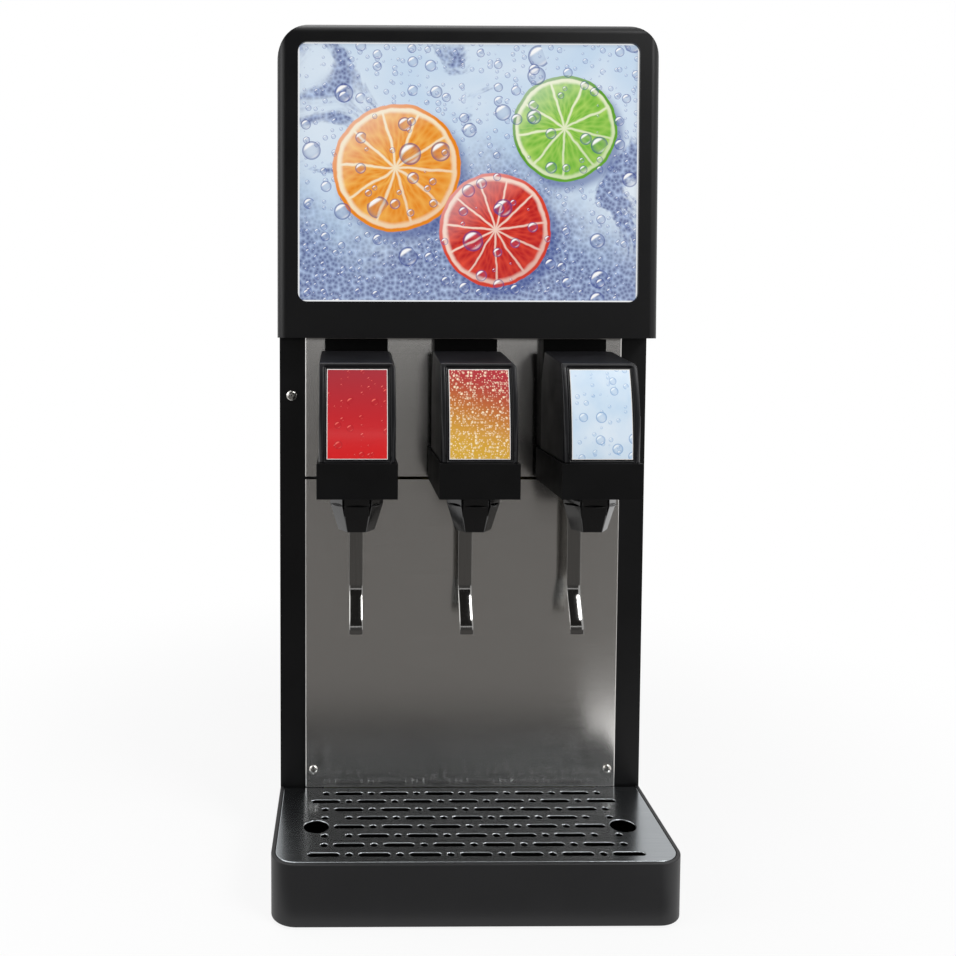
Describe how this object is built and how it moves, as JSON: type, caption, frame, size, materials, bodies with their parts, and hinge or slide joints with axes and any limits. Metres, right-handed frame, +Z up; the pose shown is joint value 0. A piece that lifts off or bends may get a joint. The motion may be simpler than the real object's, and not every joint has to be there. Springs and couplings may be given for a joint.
{
  "type": "post-mix soda dispenser",
  "caption": "Countertop soda dispenser with a lit head, lever taps on a brushed steel front and a perforated drip cover, with a cooler inside.",
  "frame": {"origin": "on the table under the middle of the whole object's box", "axes": "+Z up, -Y towards the user, +X to the right as the user faces the taps"},
  "size_m": [0.31, 0.52, 0.69],
  "materials": {
    "black_sheet": "satin black powder coat",
    "head_black": "satin black powder coat",
    "base_black": "satin dark grey-black coat",
    "steel": "horizontally brushed stainless steel",
    "lever_steel": "polished stainless steel",
    "zinc": "bright zinc plate",
    "tap_black": "fine-grained black ABS",
    "nozzle_black": "glossy black plastic",
    "label_red": "gloss printed film, plain red",
    "label_orange": "gloss printed film, orange to red with specks",
    "label_blue": "gloss printed film, pale blue",
    "window_print": "back-lit printed acrylic",
    "white_plastic": "white plastic",
    "circuit": "circuit board with LEDs",
    "rubber": "black rubber",
    "foam": "rigid polyurethane foam",
    "copper": "copper tube",
    "machine_black": "black moulded housings and lacquer",
    "compressor_black": "black lacquered steel",
    "aluminium": "plain aluminium",
    "hose": "translucent tubing"
  },
  "bodies": {
    "cabinet": {"base_plate": "black_sheet", "feet": "rubber", "side_panel_left": "black_sheet", "side_panel_right": "black_sheet", "rear_panel": "black_sheet", "rear_screws": "zinc", "lower_panel": "steel", "upper_panel": "steel", "panel_screws": "zinc", "column_screws": "zinc", "head_shell": "head_black", "window_panel": "window_print", "light_box": "white_plastic", "led_boards": "circuit", "drip_base": "base_black", "drip_pan": "steel", "drain_tube": "machine_black", "lever_springs": "zinc", "lever_pins": "zinc", "tap_switches": "machine_black", "solenoids": "machine_black", "tap_screws": "zinc", "drink_lines": "hose", "bath_insulation": "foam", "bath_tank": "steel", "evaporator": "copper", "carbonator": "steel", "agitator_motor": "machine_black", "machine_deck": "steel", "compressor": "compressor_black", "condenser": "aluminium", "fan_shroud": "black_sheet", "fan_motor": "machine_black", "water_pump": "machine_black", "control_box": "machine_black", "inlet_fittings": "lever_steel", "power_inlet": "machine_black", "switch_frame": "machine_black", "tap_body_left": "tap_black", "tap_cover_left": "tap_black", "tap_label_left": "label_red", "tap_body_middle": "tap_black", "tap_cover_middle": "tap_black", "tap_label_middle": "label_orange", "tap_body_right": "tap_black", "tap_cover_right": "tap_black", "tap_label_right": "label_blue"},
    "drip_cover": {"drip_cover": "steel"},
    "condenser_fan": {"condenser_fan": "machine_black"},
    "agitator": {"agitator": "lever_steel"},
    "power_rocker": {"power_rocker": "nozzle_black"},
    "nozzle_left": {"nozzle_left": "nozzle_black"},
    "lever_left": {"lever_left": "lever_steel"},
    "switch_button_left": {"switch_button_left": "label_red"},
    "nozzle_middle": {"nozzle_middle": "nozzle_black"},
    "lever_middle": {"lever_middle": "lever_steel"},
    "switch_button_middle": {"switch_button_middle": "label_red"},
    "nozzle_right": {"nozzle_right": "nozzle_black"},
    "lever_right": {"lever_right": "lever_steel"},
    "switch_button_right": {"switch_button_right": "label_red"}
  },
  "joints": [
    {"name": "lever_left_push", "type": "hinge", "parent": "cabinet", "child": "lever_left", "pos_m": [-0.0905, -0.157, 0.333], "axis": [1, 0, 0], "range_deg": [0, 7], "stiffness_Nm_per_rad": 0.6, "springref_deg": -5.73, "deforming": ["lever_springs"]},
    {"name": "nozzle_left_twist", "type": "hinge", "parent": "cabinet", "child": "nozzle_left", "pos_m": [-0.0905, -0.207, 0.319], "axis": [0, 0, 1], "range_deg": [0, 45]},
    {"name": "switch_left_press", "type": "slide", "parent": "cabinet", "child": "switch_button_left", "axis": [0, -1, 0], "range_m": [0, 0.0013]},
    {"name": "lever_middle_push", "type": "hinge", "parent": "cabinet", "child": "lever_middle", "pos_m": [0, -0.157, 0.333], "axis": [1, 0, 0], "range_deg": [0, 7], "stiffness_Nm_per_rad": 0.6, "springref_deg": -5.73, "deforming": ["lever_springs"]},
    {"name": "nozzle_middle_twist", "type": "hinge", "parent": "cabinet", "child": "nozzle_middle", "pos_m": [0, -0.207, 0.319], "axis": [0, 0, 1], "range_deg": [0, 45]},
    {"name": "switch_middle_press", "type": "slide", "parent": "cabinet", "child": "switch_button_middle", "axis": [0, -1, 0], "range_m": [0, 0.0013]},
    {"name": "lever_right_push", "type": "hinge", "parent": "cabinet", "child": "lever_right", "pos_m": [0.0905, -0.157, 0.333], "axis": [1, 0, 0], "range_deg": [0, 7], "stiffness_Nm_per_rad": 0.6, "springref_deg": -5.73, "deforming": ["lever_springs"]},
    {"name": "nozzle_right_twist", "type": "hinge", "parent": "cabinet", "child": "nozzle_right", "pos_m": [0.0905, -0.207, 0.319], "axis": [0, 0, 1], "range_deg": [0, 45]},
    {"name": "switch_right_press", "type": "slide", "parent": "cabinet", "child": "switch_button_right", "axis": [0, -1, 0], "range_m": [0, 0.0013]},
    {"name": "drip_cover_lift", "type": "slide", "parent": "cabinet", "child": "drip_cover", "axis": [0, -0.2149, 0.9766], "range_m": [0, 0.12]},
    {"name": "fan_spin", "type": "hinge", "parent": "cabinet", "child": "condenser_fan", "pos_m": [0, 0.173, 0.539], "axis": [0, 1, 0], "continuous": true},
    {"name": "agitator_spin", "type": "hinge", "parent": "cabinet", "child": "agitator", "pos_m": [0.056, 0.039, 0.439], "axis": [0, 0, 1], "continuous": true},
    {"name": "power_rocker_tilt", "type": "hinge", "parent": "cabinet", "child": "power_rocker", "pos_m": [0.112, 0.243, 0.104], "axis": [1, 0, 0], "range_deg": [-18, 0]}
  ],
  "couplings": [
    {"joint": "switch_left_press", "follows": "lever_left_push", "m_per_rad": 0.01},
    {"joint": "switch_middle_press", "follows": "lever_middle_push", "m_per_rad": 0.01},
    {"joint": "switch_right_press", "follows": "lever_right_push", "m_per_rad": 0.01}
  ]
}
